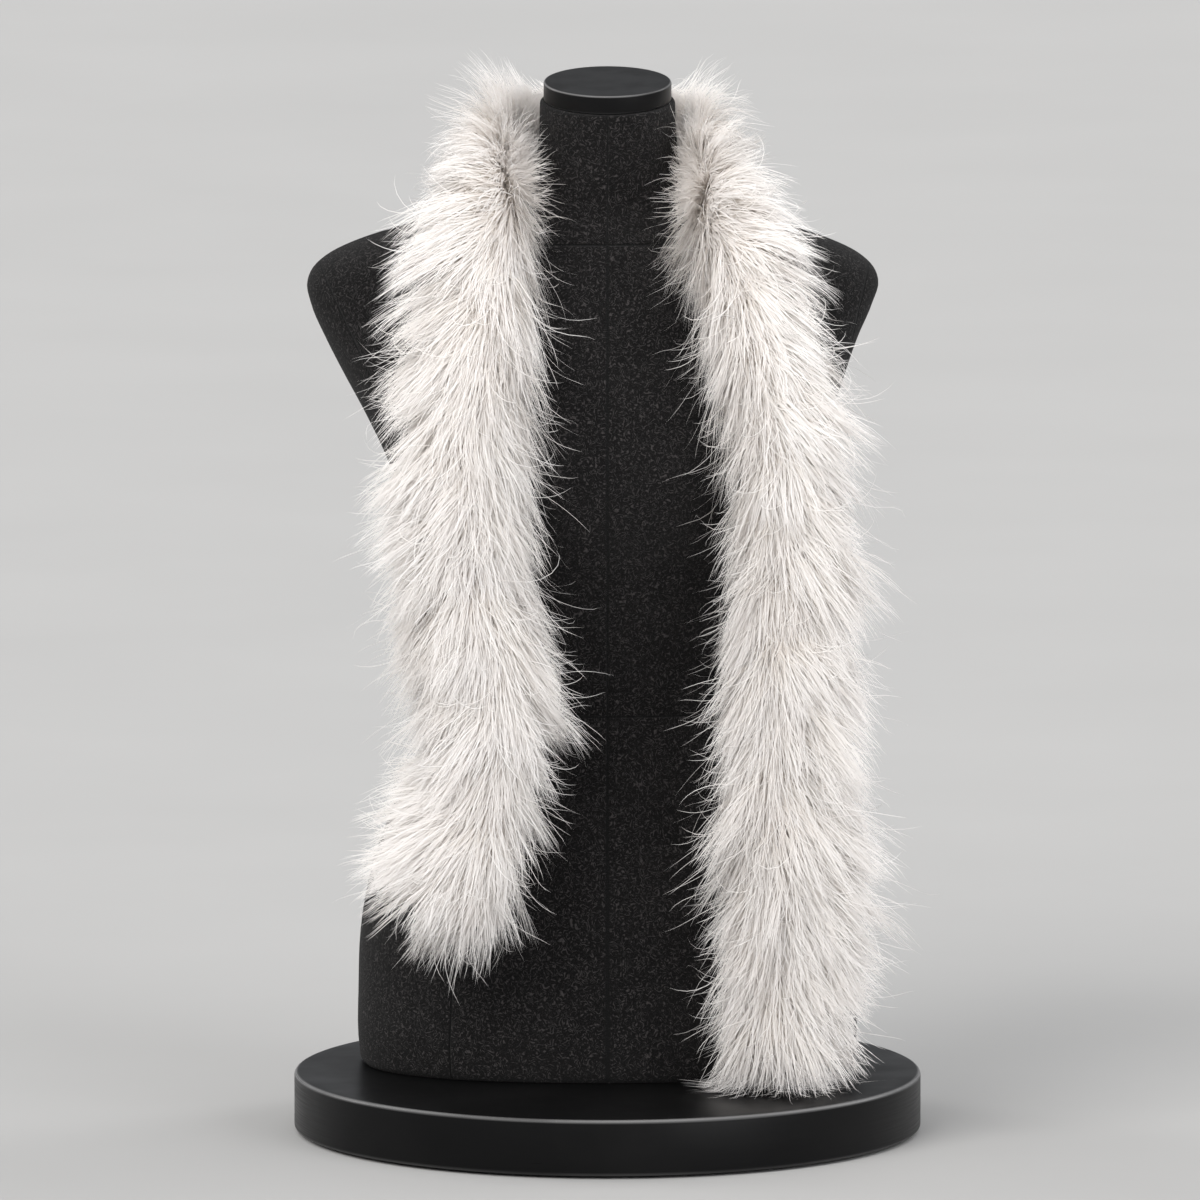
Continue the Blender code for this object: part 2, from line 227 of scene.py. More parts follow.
GRAVITY = 0.32
GATHER_POWER = 0.85
NECK_BLEND = 0.15  # length over which the falls' values change to the neck's
NECK_BLEND_INTO_FALL = 0.07  # how much of it lies on the fall
BACK_ANGLE = np.radians(270)  # the angle on the tube that faces the form
ROOT_TRIES = 4.2  # places tried for each root wanted
ANGLE_STEP = 0.02  # for measuring how wide the tube is at a place
END_MARGIN = 0.0005  # no root lies nearer a free end
SHOULDER_EXTRA = 0.6  # how much denser the roots are just beside the shoulders' seams
SHOULDER_SHIFT = 0.03
SHOULDER_WIDTH = 0.04
HIDDEN_SHARE = 0.16  # pile where the tube lies on the form, against 1 in front
BEHIND_SHARE = 0.62  # pile on the tube's back where it stands clear of the form
WIDER_BEHIND = 0.35  # how much wider the strands on the back are

# number: in a pile piece of share 1. steps: which of the grown points it keeps.
# widths: at those points but the last, as shares of width. length: share of its wisp's.
# curl, lean and lift: spread of its turn to the tip, its way and its rise, in degrees.
# gathered: how far it joins its wisp. soft: how far its shading follows the scarf's outside.
Kind = namedtuple("Kind", "number steps widths width length curl lean lift gathered soft")
# Undercoat, guard hairs and loose curling hairs
KINDS = (
    Kind(10500, (0, 3, 6, 9), (0.9, 1.0, 0.66), 0.00105, (0.55, 0.90), 8, 7, 4, (0.05, 0.45), 0.94),
    Kind(10300, (0, 2, 4, 6, 8, 9), (0.70, 1.0, 0.92, 0.72, 0.42), 0.00058, (0.82, 1.10), 34, 6, 6,
         (0.40, 0.85), 0.88),
    Kind(3060, (0, 2, 4, 5, 6, 7, 8, 9), (0.7, 1.0, 1.0, 0.95, 0.9, 0.8, 0.6), 0.00042, (0.75, 1.15),
         95, 24, 14, (0.0, 0.2), 0.70),
)

# Clearances that keep the pile off what it lies on
FORM_NEAR = (0.012, 0.024)  # how near the form's side and its front or back counts as near
FORM_ROOM = (0.0008, 0.0045)  # strands lie this far off the cloth
BASE_ROOM = 0.0006
BASE_LAYER = 0.009  # tips on the base lie in a layer this thick
BASE_SPREAD = 0.9  # how far they spread for what they would have sunk
CAP_ROOM = 0.0025
CAP_LEVEL = 0.685  # above the base; the pile keeps off the cap from here up
CEILING = 0.700  # above the base; behind the cap the pile stays about this low
CEILING_SHARE = 0.85

LIGHT_THROUGH = 0.32  # share of the light on a strand that passes through it
# Strand colour from root to tip: the cream towards the roots is painted shade deep in the pile
IVORY_TIP = (0.955, 0.937, 0.929)
IVORY_ROOT_PAINTED_SHADE = (0.830, 0.775, 0.715)
IVORY_SHADE_FADING = ((0.22, (0.89, 0.855, 0.82)), (0.50, (0.93, 0.91, 0.895)))
TONES = 128  # cells of strand tone across the map
# Backing cloth: cream darker than the pile, painted shade seen between the strands
UNDERCOAT_SHADE_DARK = (0.72, 0.66, 0.60)
UNDERCOAT_SHADE_LIGHT = (0.90, 0.865, 0.83)
CLOTH_DARK = (0.0026, 0.0024, 0.0024)
CLOTH_MIDDLE = (0.0042, 0.0039, 0.0039)
CLOTH_FIBRE = (0.044, 0.040, 0.040)
SATIN_DARK = (0.0034, 0.0034, 0.0036)
SATIN_LIGHT = (0.0055, 0.0054, 0.0055)
# Painted highlight: light grey along the plates' rounded rims
SATIN_PAINTED_HIGHLIGHT = (0.16, 0.158, 0.158)

# Lines of the two arm plates: sideways and upward parts of the plane's way, and its distance
ARM_PLANES = ((0.898, 0.441, 0.0907), (0.973, -0.229, 0.0395))
ARM_LINE = 0.0009
ARM_LOWEST = 0.500  # above the base

# Stage: name, way it shines from, energy, width in degrees, colour
LIGHTS = (
    ("key", (-1.5, -2.3, 1.8), 2.30, 37, (1.0, 0.985, 0.965)),
    ("fill", (2.0, -2.2, 0.8), 1.75, 40, (0.98, 0.985, 1.0)),
    ("rim_left", (-1.9, 0.9, 1.1), 0.7, 24, (1.0, 1.0, 1.0)),
    ("rim_right", (1.9, 0.9, 1.1), 0.7, 24, (1.0, 1.0, 1.0)),
    ("above", (0.0, 0.0, 3.0), 1.45, 90, (1.0, 1.0, 1.0)),
)
SKY = (0.80, 0.82, 0.85)
SKY_STRENGTH = 0.42
FLOOR_REACH = 16.0
CAMERA_AIM = Vector((-0.0054, 0.0, 0.3856))
CAMERA_DISTANCE = 20.0
CAMERA_RISE = np.radians(8.24)
CAMERA_WIDTH = 0.864  # what the frame's width takes in, at the aim


def smooth(t):
    """0 below 0, 1 above 1 and an even rise between."""
    t = np.clip(t, 0.0, 1.0)
    return t * t * (3 - 2 * t)


def unit(v):
    """Vectors of length 1."""
    return v / np.maximum(np.linalg.norm(v, axis=-1, keepdims=True), 1e-9)


class Curve:
    """A smooth curve through the rows of a table, read at many places at once."""

    def __init__(self, rows, at):
        self.rows = np.array(rows, float)
        self.at = np.array(at, float)
        self.slopes = np.gradient(self.rows, self.at, axis=0)

    def value(self, place):
        """The row at each place."""
        place = np.asarray(place, float)
        i = np.clip(np.searchsorted(self.at, place) - 1, 0, len(self.at) - 2)
        span = (self.at[i + 1] - self.at[i])[..., None]
        t = (place - self.at[i])[..., None] / span
        return (
            (2 * t**3 - 3 * t**2 + 1) * self.rows[i]
            + (t**3 - 2 * t**2 + t) * span * self.slopes[i]
            + (3 * t**2 - 2 * t**3) * self.rows[i + 1]
            + (t**3 - t**2) * span * self.slopes[i + 1]
        )


def scarf_curve():
    """The scarf's middle line by length along it, in the model's frame."""
    rows = np.array(SCARF_LINE, float)
    rows[:, 2] += BASE_HEIGHT
    steps = np.linalg.norm(np.diff(rows[:, :3], axis=0), axis=1)
    return Curve(rows, np.concatenate([[0], np.cumsum(steps)]))


LINE = scarf_curve()
TOTAL = LINE.at[-1]
NAPE = LINE.at[NAPE_ROW]
LEFT_SEAM = LINE.at[LEFT_SEAM_ROW]
RIGHT_SEAM = LINE.at[RIGHT_SEAM_ROW]
LEFT_MIDDLE = LEFT_SEAM * 0.5
RIGHT_MIDDLE = (RIGHT_SEAM + TOTAL) / 2


def frames(s):
    """Middles, ways along, out and forwards, and half sizes at the places s of the line."""
    row = LINE.value(s)
    ahead = LINE.value(np.minimum(s + NUDGE, TOTAL))
    behind = LINE.value(np.maximum(s - NUDGE, 0.0))
    along = unit((ahead - behind)[..., :3])
    facing = np.radians(row[..., 3])
    out = np.stack([np.cos(facing), np.sin(facing), 0 * facing], -1)
    out = unit(out - along * (out * along).sum(-1, keepdims=True))
    return row[..., :3], along, out, np.cross(along, out), row[..., 4], row[..., 5]


def backing_surface(s, angle, inward=0.0):
    """Points and outward ways of the cloth tube at places s and angles round it."""
    middle, along, out, forwards, wide, thick = frames(s)
    from_end = np.minimum(s - LEFT_INSET, TOTAL - RIGHT_INSET - s)
    closing = np.clip(1 - from_end / END_ROUND, 0, 1)
    share = np.maximum(np.sqrt(1 - closing**2), END_LEAST)
    rows, narrower, shift = np.array(TUBE_TRIM).T
    narrower, shift = (np.interp(s, LINE.at[rows.astype(int)], part) for part in (narrower, shift))
    middle = middle - out * shift[..., None]
    half = np.maximum(wide - PILE_SIDE - narrower, LEAST_CORE * wide) * share - inward
    deep = np.maximum(thick - PILE_FRONT, LEAST_CORE * thick) * share - inward
    c, q = np.cos(angle), np.sin(angle)
    power = 2 / SCARF_SQUARENESS
    x = half * np.sign(c) * np.abs(c) ** power
    y = deep * np.sign(q) * np.abs(q) ** power
    points = middle + out * x[..., None] + forwards * y[..., None]
    outward = unit(out * (c * deep)[..., None] + forwards * (q * half)[..., None])
    end_way = np.where(s < TOTAL / 2, -1.0, 1.0)[..., None] * along
    outward = unit(outward * share[..., None] + end_way * (closing * END_TURN)[..., None])
    return points, outward


# Mesh building


def link(thing):
    """Puts an object in the scene."""
    bpy.context.scene.collection.objects.link(thing)
    return thing


def new_object(name, points, faces, finish):
    """A smooth-shaded piece on the root body."""
    mesh = bpy.data.meshes.new(name)
    mesh.from_pydata([tuple(p) for p in points], [], [tuple(f) for f in faces])
    mesh.materials.append(finish)
    mesh.shade_smooth()
    made = link(bpy.data.objects.new(name, mesh))
    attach(made, "root")
    return made


def closing_fans(rings, sides):
    """Triangles that close a tube of rings, to the two points that follow the rings' own."""
    j = np.arange(sides)
    k = (j + 1) % sides
    last = (rings - 1) * sides
    fans = [(rings * sides, b, a) for a, b in zip(j, k)]
    fans += [(rings * sides + 1, last + a, last + b) for a, b in zip(j, k)]
    return fans


def point_values(made, name, values):
    """Stores a number for each point, for the finish to read."""
    layer = made.data.attributes.new(name, "FLOAT", "POINT")
    layer.data.foreach_set("value", np.asarray(values, np.float32))


def grid_faces(rings, sides, first, flip=False):
    """Four-sided faces between rings that close on themselves."""
    i, j = np.meshgrid(np.arange(rings - 1), np.arange(sides), indexing="ij")
    k = (j + 1) % sides
    quad = np.stack([i * sides + j, i * sides + k, (i + 1) * sides + k, (i + 1) * sides + j], -1)
    quad = quad.reshape(-1, 4) + first
    return quad[:, ::-1] if flip else quad


def form_surface():
    """The form cover's rings, and how deep in a seam each point lies, 0 to 1."""
    heights = np.array([row[0] for row in FORM_LEVELS])
    curve = Curve(FORM_LEVELS, heights)
    rows = np.arange(len(heights))
    even = np.interp(np.linspace(0, rows[-1], COVER_RINGS), rows, heights)
    top = heights[-1] - TOP_ROUNDING * (1 - np.sin(np.linspace(0, np.pi / 2, TOP_ROUNDING_STEPS)))
    even = np.concatenate([even[even < top[0] - 0.001], top])
    levels, level_seam = with_seams(even, LEVEL_SEAMS, np.full(len(LEVEL_SEAMS), GROOVE_WIDTH))
    angles = np.linspace(0, 2 * np.pi, COVER_COLUMNS, endpoint=False)
    widths = np.full(len(UPRIGHT_SEAMS), GROOVE_WIDTH / SEAM_RADIUS)
    angles, upright_seam = with_seams(angles, UPRIGHT_SEAMS, widths)
    row = curve.value(levels)
    _, shift, half_width, front, back, square, tilt = (row[:, i : i + 1] for i in range(7))
    height = levels[:, None]
    lean = np.arcsin(np.clip((np.abs(shift) / half_width) ** (square / 2), 0, 1))
    from_front = (angles[None] - FRONT_SEAM) / SEAM_WARP
    warp = np.clip(1 - from_front**2, 0, 1) ** 2
    angle = angles[None] + lean * warp
    c, s = np.cos(angle), np.sin(angle)
    x = half_width * np.sign(c) * np.abs(c) ** (2 / square)
    y = (back - front) / 2 * np.sign(s) * np.abs(s) ** (2 / square)
    across = np.exp(-(((np.abs(x) - BUST_SPREAD) / BUST_WIDTH) ** 2))
    up = np.exp(-(((height - BUST_HEIGHT) / BUST_TALL) ** 2))
    z = BASE_HEIGHT + SEAM + height + y * np.tan(NECK_TILT) * tilt
    y = y + (front + back) / 2 - BUST_REACH * across * up * (s < 0)
    rings = np.stack([x + shift, y, z], -1)
    near = np.abs(angles[:, None] - UPRIGHT_SEAMS[None, :THROUGH_SEAMS]).min(1)
    stops = (near[None] > 1e-6) & (height > LEVEL_SEAMS[-1])
    groove = np.maximum(level_seam[:, None], np.where(stops, 0, upright_seam[None]))
    groove[0] = groove[-1] = 0
    inwards = unit((rings.mean(1, keepdims=True) - rings) * (1, 1, 0))
    short = np.clip(1 - (heights[-1] - height) / TOP_ROUNDING, 0, 1)
    rounded = TOP_ROUNDING * (1 - np.sqrt(1 - short**2))
    return rings + inwards * (GROOVE_DEPTH * groove + rounded)[..., None], groove


def with_seams(places, seams, widths):
    """Places with three more at each seam, and 1 at the seams' middles."""
    keep = np.ones(len(places), bool)
    for seam, width in zip(seams, widths):
        keep &= np.abs(places - seam) > SEAM_CLEAR * width
    kept = places[keep]
    sides = np.concatenate([[seam - width, seam + width] for seam, width in zip(seams, widths)])
    everything = np.concatenate([kept, sides, seams])
    depth = np.concatenate([np.zeros(len(kept) + len(sides)), np.ones(len(seams))])
    order = np.argsort(everything)
    return everything[order], depth[order]


def make_form_cover(finish):
    """The cloth that covers the form, closed below and above, its seams pressed in."""
    rings, groove = form_surface()
    count, sides = rings.shape[:2]
    points = np.concatenate([rings.reshape(-1, 3), rings[0].mean(0)[None], rings[-1].mean(0)[None]])
    faces = list(grid_faces(count, sides, 0)) + closing_fans(count, sides)
    made = new_object("form_cover", points, faces, finish)
    point_values(made, "seam_depth", np.append(groove.reshape(-1), (0, 0)))
    made.data.set_sharp_from_angle(angle=COVER_SHARP)
    return made


def make_backing(name, start, end, finish):
    """One stretch of the cloth tube as a thin wall, closed at a free end."""
    free_start, free_end = start <= 0, end >= TOTAL
    first = LEFT_INSET if free_start else start + SEAM / 2
    last = TOTAL - RIGHT_INSET if free_end else end - SEAM / 2
    count = int(round((last - first) / BACKING_STEP)) + 1
    s, angle = np.meshgrid(
        np.linspace(first, last, count),
        np.linspace(0, 2 * np.pi, BACKING_SIDES, endpoint=False),
        indexing="ij",
    )
    outer = backing_surface(s, angle)[0]
    inner = backing_surface(s, angle, BACKING)[0]
    size = count * BACKING_SIDES
    points = np.concatenate([outer.reshape(-1, 3), inner.reshape(-1, 3)])
    faces = list(grid_faces(count, BACKING_SIDES, 0))
    faces += list(grid_faces(count, BACKING_SIDES, size, flip=True))
    extra = []
    for at_start, free in ((True, free_start), (False, free_end)):
        row = 0 if at_start else count - 1
        for j in range(BACKING_SIDES):
            k = (j + 1) % BACKING_SIDES
            a, b = row * BACKING_SIDES + j, row * BACKING_SIDES + k
            if not free:
                quad = (a, b, size + b, size + a)
                faces.append(quad[::-1] if at_start else quad)
            else:
                centre = 2 * size + len(extra)
                fan = (centre, b, a) if at_start else (centre, a, b)
                faces.append(fan)
                fan = (centre + 1, size + a, size + b)
                faces.append(fan if at_start else fan[::-1])
        if free:
            extra += [outer[row].mean(0), inner[row].mean(0)]
    if extra:
        points = np.concatenate([points, np.array(extra)])
    return new_object(name, points, faces, finish)


def rounded_plate(radius, low, high, rounding):
    """Rows of a plate, bottom to top: radius, height, and its painted rim highlight, 1 at the middle
    of a rounding.
    """
    turn = np.linspace(0, np.pi / 2, ROUNDING_STEPS)
    inner = radius - rounding
    side = inner + rounding * np.sin(turn)
    rise = rounding * (1 - np.cos(turn))
    # Painted highlight along each rounding, strongest at its middle
    rim = np.sin(2 * turn) ** 2
    lower = list(zip(side, low + rise, rim * LOWER_RIM_HIGHLIGHT))
    upper = list(zip(side[::-1], high - rise[::-1], rim[::-1]))
    flat = [(inner * share, high, 0.0) for share in TOP_RINGS]
    return lower + upper + flat


def make_turned(name, profile, finish):
    """A closed turned solid from its (radius, height, painted rim highlight) rows, bottom to top."""
    angle = np.linspace(0, 2 * np.pi, TURNED_SIDES, endpoint=False)
    circle = np.stack([np.cos(angle), np.sin(angle), 0 * angle], 1)
    rings = np.array([circle * (r, r, 0) + (0, 0, z) for r, z, _ in profile])
    count = len(rings)
    points = np.concatenate([rings.reshape(-1, 3), [(0, 0, profile[0][1]), (0, 0, profile[-1][1])]])
    faces = list(grid_faces(count, TURNED_SIDES, 0)) + closing_fans(count, TURNED_SIDES)
    made = new_object(name, points, faces, finish)
    # Painted rim highlight, stored on the points
    rim = np.repeat([row[2] for row in profile], TURNED_SIDES)
    point_values(made, "painted_rim_highlight", np.append(rim, (0, 0)))
    made.data.set_sharp_from_angle(angle=PLATE_SHARP)
    return made


def make_base(finish):
    """The base plate on its recessed foot."""
    foot = [(FOOT_RADIUS * 0.6, 0.0, 0.0), (FOOT_RADIUS, 0.0, 0.0), (FOOT_RADIUS, FOOT_HEIGHT, 0.0)]
    plate = rounded_plate(BASE_RADIUS, FOOT_HEIGHT, BASE_HEIGHT, BASE_ROUNDING)
    return make_turned("base_plate", foot + plate, finish)


def make_cap(finish):
    """The cap, tipped as the neck is."""
    profile = rounded_plate(CAP_RADIUS, 0.0, CAP_THICKNESS, CAP_ROUNDING)
    cap = make_turned("cap_plate", profile, finish)
    place = (0, CAP_MIDDLE_Y, BASE_HEIGHT + FORM_LEVELS[-1][0] + 2 * SEAM)
    cap.data.transform(Matrix.Translation(place) @ Matrix.Rotation(NECK_TILT, 4, "X"))
    return cap


# Pile


def pick_roots(rng, start, end, count):
    """Random roots on the tube between two places: s, angle, point, outward way."""
    first = max(start, LEFT_INSET + END_MARGIN)
    last = min(end, TOTAL - RIGHT_INSET - END_MARGIN)
    tries = int(count * ROOT_TRIES)
    s = rng.uniform(first, last, tries)
    angle = rng.uniform(0, 2 * np.pi, tries)
    here, _ = backing_surface(s, angle)
    beside, _ = backing_surface(s, angle + ANGLE_STEP)
    stretch = np.linalg.norm(beside - here, axis=1) / ANGLE_STEP
    against = smooth((np.cos(angle - BACK_ANGLE) - 0.25) / 0.5)
    hidden = inside_form(here) & (against > 0.8)
    weight = stretch * np.where(hidden, HIDDEN_SHARE, 1 - (1 - BEHIND_SHARE) * against)
    for place, way in ((LEFT_SEAM, 1), (RIGHT_SEAM, -1)):
        from_middle = (s - place - way * SHOULDER_SHIFT) / SHOULDER_WIDTH
        weight = weight * (1 + SHOULDER_EXTRA * np.exp(-(from_middle**2)))
    chosen = np.flatnonzero(rng.random(tries) < weight / np.percentile(weight, 97))[:count]
    point, outward = backing_surface(s[chosen], angle[chosen])
    return s[chosen], angle[chosen], point, outward


def on_the_neck(s):
    """1 round the neck and 0 on the falls."""
    from_left = (s - LEFT_SEAM + NECK_BLEND_INTO_FALL) / NECK_BLEND
    from_right = (RIGHT_SEAM + NECK_BLEND_INTO_FALL - s) / NECK_BLEND
    return smooth(from_left) * smooth(from_right)


def flow(s, angle, outward, lean):
    """The way the pile lies at a root, its sweep turned by lean, and how much it stands."""
    along = frames(s)[1]
    down = np.where(s >= NAPE, 1.0, -1.0)[:, None] * along
    down = unit(down - outward * (down * outward).sum(1, keepdims=True) * 0.8)
    on_neck = on_the_neck(s)
    parting = PARTING + (PARTING_ON_NECK - PARTING) * on_neck
    from_parting = (angle - parting + np.pi) % (2 * np.pi) - np.pi
    aside = np.cross(along, outward) * np.sign(from_parting)[:, None]
    outer = np.where(s < NAPE, *OUTER_SWEEP) + OUTER_SWEEP_ON_NECK * on_neck
    inner = INNER_SWEEP + INNER_SWEEP_ON_NECK * on_neck
    most = np.where(from_parting < 0, outer, inner)
    spread = np.abs(np.sin(from_parting)) ** (0.5 - 0.1 * on_neck)
    spread = np.where(np.abs(from_parting) > np.pi / 2, np.maximum(spread, 0.5), spread)
    width = PARTING_WIDTH * (1 + 0.4 * on_neck)
    at_parting = np.exp(-((from_parting / width) ** 2)) * (1 + on_neck)
    crossed = np.sin(s * CROSSING_RATES[0] + angle * CROSSING_RATES[1])
    sweep = np.radians(most * spread) + lean + PARTING_SPREAD * at_parting * crossed
    way = down * np.cos(sweep)[:, None] + aside * np.sin(sweep)[:, None]
    upright = on_neck * np.exp(-((from_parting / UPRIGHT_WIDTH) ** 2))
    return unit(way), np.radians(STANDING + STANDING_ON_NECK * upright)


def grow(rng, roots, length, lean, lift, wave, curl):
    """Free curves of strands from their roots, before they are gathered into locks."""
    s, angle, point, outward = roots
    way, standing = flow(s, angle, outward, lean)
    cross = np.cross(way, outward)
    root_rise = np.radians(ROOT_RISE + ROOT_RISE_ON_NECK * on_the_neck(s))
    phase = rng.uniform(0, 2 * np.pi, (len(s), 2))
    turns = rng.uniform(0.6, 1.5, (len(s), 2))
    turned, raised = rng.normal(0, 1, (2, len(s))) * curl
    curve = [point]
    here = point.copy()
    for before, after in zip(GROWTH_TIMES[:-1], GROWTH_TIMES[1:]):
        t = (before + after) / 2
        rise = standing + root_rise * np.exp(-t / ROOT_LENGTH) + lift + raised * 0.6 * t**2
        turn = (turned * t**2)[:, None]
        ahead = way * np.cos(turn) + cross * np.sin(turn)
        step = ahead * np.cos(rise)[:, None] + outward * np.sin(rise)[:, None]
        step = step + np.array([0, 0, -1.0]) * (GRAVITY * t)
        here = here + unit(step) * (length * (after - before))[:, None]
        bend = (after * wave)[:, None]
        sway = np.sin(phase + turns * 2 * np.pi * after) - np.sin(phase)
        curve.append(here + (cross * sway[:, :1] + outward * sway[:, 1:] * 0.6) * bend)
    return np.stack(curve, 1)


def nearest(points, guides):
    """Which guide is nearest to each point."""
    tree = KDTree(len(guides))
    for i, p in enumerate(guides):
        tree.insert(Vector(p), i)
    tree.balance()
    return np.array([tree.find(Vector(p))[1] for p in points])


def gather(curves, guides, index, tight):
    """Draws each curve towards its guide, more towards the tip."""
    share = (GROWTH_TIMES**GATHER_POWER)[None, :, None] * tight[:, None, None]
    return curves + share * (guides[index] - curves)


def clear_of_form(curves, surface, rng):
    """Lays on the form's cloth the points that would go into it."""
    flat = curves.reshape(-1, 3)
    near_form = np.flatnonzero(inside_form(flat))
    margin = rng.uniform(*FORM_ROOM, len(near_form))
    for i, room in zip(near_form, margin):
        place, normal, _, _ = surface.find_nearest(Vector(flat[i]))
        normal = np.array(normal)
        lacking = room - (flat[i] - np.array(place)) @ normal
        if lacking > 0:
            flat[i] += normal * lacking
    return flat.reshape(curves.shape)


def inside_form(points):
    """Which points are in the form or within FORM_NEAR of it."""
    heights = np.array([row[0] for row in FORM_LEVELS])
    level = points[:, 2] - BASE_HEIGHT
    row = np.array([np.interp(level, heights, column) for column in np.array(FORM_LEVELS).T]).T
    _, shift, half_width, front, back, square, _ = row.T
    x = np.abs(points[:, 0] - shift) / (half_width + FORM_NEAR[0])
    y = np.abs(points[:, 1] - (front + back) / 2) / ((back - front) / 2 + FORM_NEAR[1])
    return (x**square + y**square < 1) & (level < heights[-1] + 0.01)


def clear_of_base(curves, times, rng):
    """Spreads on the base the pile that reaches it."""
    top = BASE_HEIGHT + BASE_ROOM
    end = LINE.rows[-1, :2]
    layer = rng.uniform(0, BASE_LAYER, (len(curves), 1))
    low = top + layer * times[None] - curves[..., 2]
    sunk = np.maximum(low, 0)
    away = curves[..., :2] - end
    away = away / np.maximum(np.linalg.norm(away, axis=-1, keepdims=True), 0.02)
    curves[..., :2] += away * sunk[..., None] * BASE_SPREAD
    curves[..., 2] += sunk
    return curves


def clear_of_cap(curves):
    """Keeps the pile round the neck off the cap and below its top behind it."""
    centre = np.array([0.0, CAP_MIDDLE_Y])
    away = curves[..., :2] - centre
    reach = np.linalg.norm(away, axis=-1)
    close = smooth((curves[..., 2] - BASE_HEIGHT - CAP_LEVEL) / 0.010)
    short = np.maximum(CAP_RADIUS + CAP_ROOM - reach, 0) * close
    curves[..., :2] += away / np.maximum(reach, 0.001)[..., None] * short[..., None]
    behind = smooth((curves[..., 1] - 0.02) / 0.04)
    behind = behind * smooth((0.075 - np.abs(curves[..., 0])) / 0.03)
    over = np.maximum(curves[..., 2] - (BASE_HEIGHT + CEILING), 0)
    curves[..., 2] -= over * behind * CEILING_SHARE
    return curves


Ribbons = namedtuple("Ribbons", "points loops sizes uv normals")


def make_ribbons(curves, kind, outward, roll, width, tone):
    """Tapered ribbons along curves, facing outward, with their tone on the map."""
    count, points_each = curves.shape[:2]
    segments = points_each - 1
    tangent = unit(np.gradient(curves, axis=1))
    side = unit(np.cross(tangent, outward[:, None]))
    normal = np.cross(side, tangent)
    side = side * np.cos(roll)[:, None, None] + normal * np.sin(roll)[:, None, None]
    half = width[:, None] * np.array(kind.widths)[None] / 2
    left = curves[:, :segments] - side[:, :segments] * half[..., None]
    right = curves[:, :segments] + side[:, :segments] * half[..., None]
    pairs = np.stack([left, right], 2).reshape(count, -1, 3)
    points = np.concatenate([pairs, curves[:, segments:]], 1)
    corners = []
    for k in range(segments - 1):
        corners += [2 * k, 2 * k + 1, 2 * k + 3, 2 * k + 2]
    corners += [2 * segments - 2, 2 * segments - 1, 2 * segments]
    loops = np.array(corners)[None] + (np.arange(count) * points.shape[1])[:, None]
    sizes = np.tile([4] * (segments - 1) + [3], count)
    cell = np.floor(tone * (TONES - 0.01)) / TONES
    across = np.tile([0.08, 0.92], segments).tolist() + [0.5]
    times = GROWTH_TIMES[list(kind.steps)]
    down = np.append(np.repeat(times[:segments], 2), 1.0)
    u = cell[:, None] + np.array(across)[None] / TONES
    v = np.tile(down * 0.98 + 0.01, (count, 1))
    uv = np.stack([u, v], -1)[:, corners]
    face = unit(np.cross(side, tangent))
    face = np.concatenate([np.repeat(face[:, :segments], 2, axis=1), face[:, segments:]], 1)
    normals = unit(face * (1 - kind.soft) + outward[:, None] * kind.soft)
    points, normals = points.reshape(-1, 3), normals.reshape(-1, 3)
    return Ribbons(points, loops.reshape(-1), sizes, uv.reshape(-1, 2), normals)


def join_ribbons(name, parts, finish):
    """One mesh from the ribbons of every kind."""
    counts = [len(part.points) for part in parts]
    firsts = np.cumsum([0] + counts[:-1])
    loops = np.concatenate([part.loops + first for part, first in zip(parts, firsts)])
    points, sizes, uv, normals = (
        np.concatenate([getattr(part, field) for part in parts])
        for field in ("points", "sizes", "uv", "normals")
    )
    mesh = bpy.data.meshes.new(name)
    mesh.vertices.add(len(points))
    mesh.vertices.foreach_set("co", points.astype(np.float32).reshape(-1))
    mesh.loops.add(len(loops))
    mesh.loops.foreach_set("vertex_index", loops.astype(np.int32))
    mesh.polygons.add(len(sizes))
    starts = np.cumsum(sizes) - sizes
    mesh.polygons.foreach_set("loop_start", starts.astype(np.int32))
    mesh.polygons.foreach_set("loop_total", sizes.astype(np.int32))
    mesh.update(calc_edges=True)
    layer = mesh.uv_layers.new(name="OFBake")
    layer.data.foreach_set("uv", uv.astype(np.float32).reshape(-1))
    mesh.materials.append(finish)
    mesh.shade_smooth()
    mesh.normals_split_custom_set_from_vertices(normals)
    made = link(bpy.data.objects.new(name, mesh))
    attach(made, "root")
    return made


